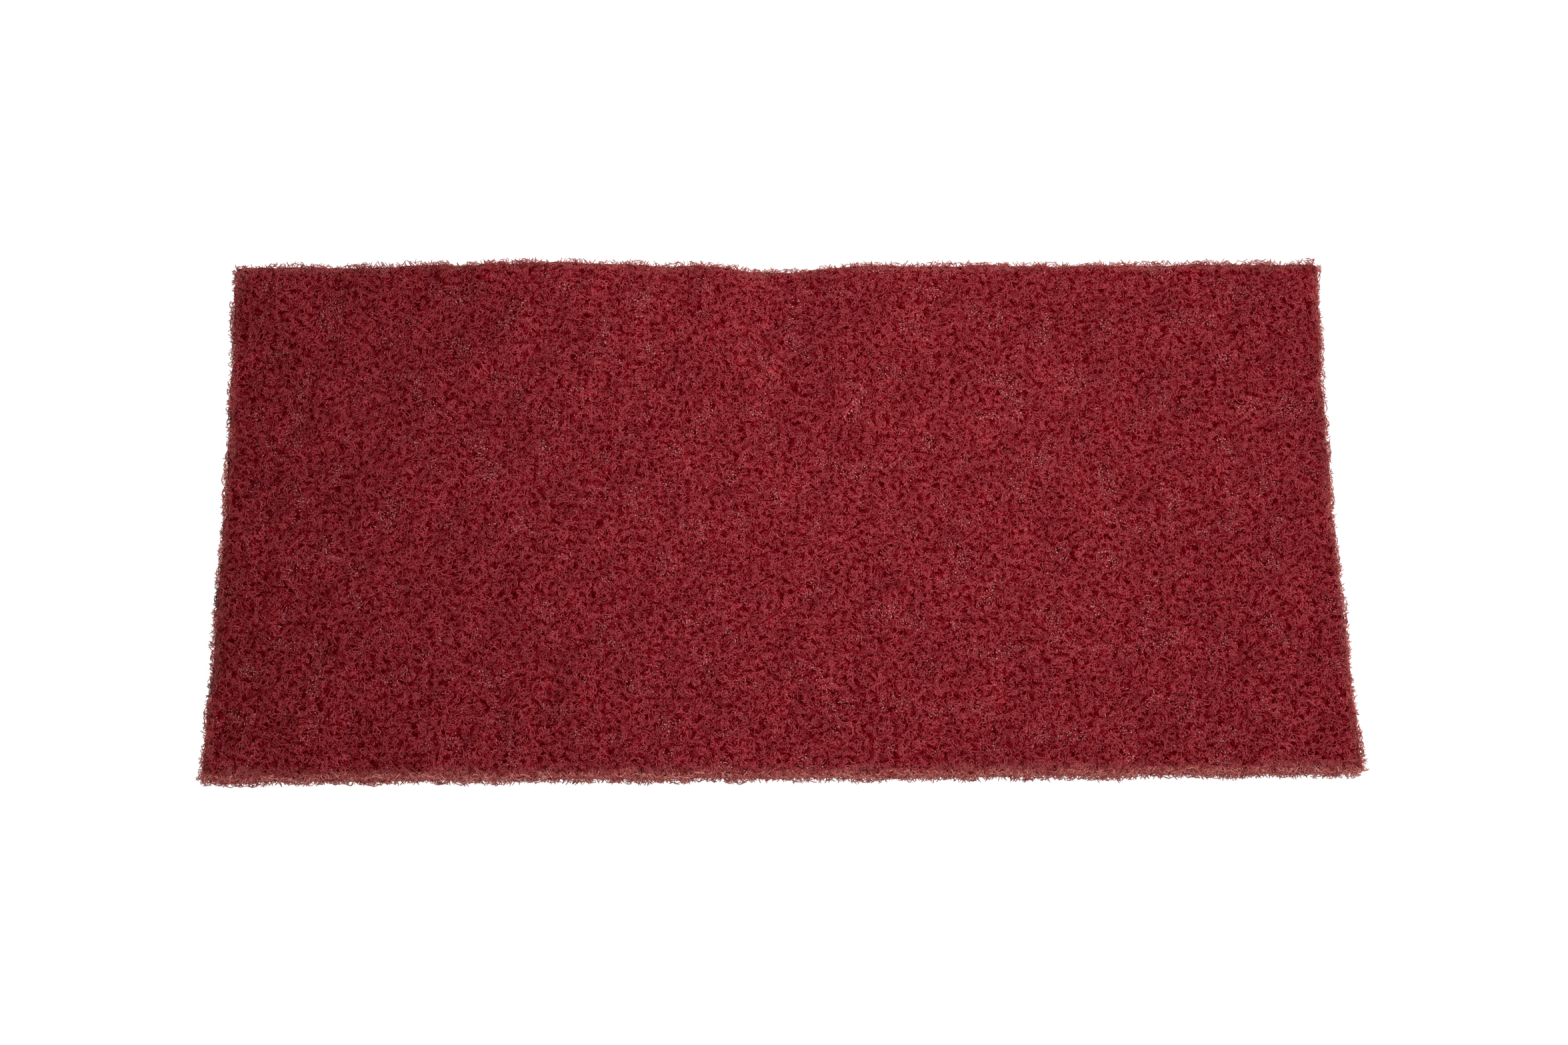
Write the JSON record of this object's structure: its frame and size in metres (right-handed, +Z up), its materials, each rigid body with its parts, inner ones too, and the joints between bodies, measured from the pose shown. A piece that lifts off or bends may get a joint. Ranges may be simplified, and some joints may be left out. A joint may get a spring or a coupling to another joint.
{
  "type": "nylon scouring pad",
  "caption": "Flat rectangular pad cut from a lofty nonwoven web of crimped fibres, rubbed by hand or under a holder to scour surfaces.",
  "frame": {"origin": "on the surface that the pad rests on, under the middle of its box", "axes": "+X along the pad's long side, +Y across it towards the long edge that has sprung up, +Z up out of the working face"},
  "size_m": [0.2498, 0.12, 0.012],
  "materials": {
    "nylon_web": "matt maroon nylon fibres with fine resin and abrasive glints"
  },
  "bodies": {
    "root": {"scouring_pad": "nylon_web"}
  },
  "joints": []
}
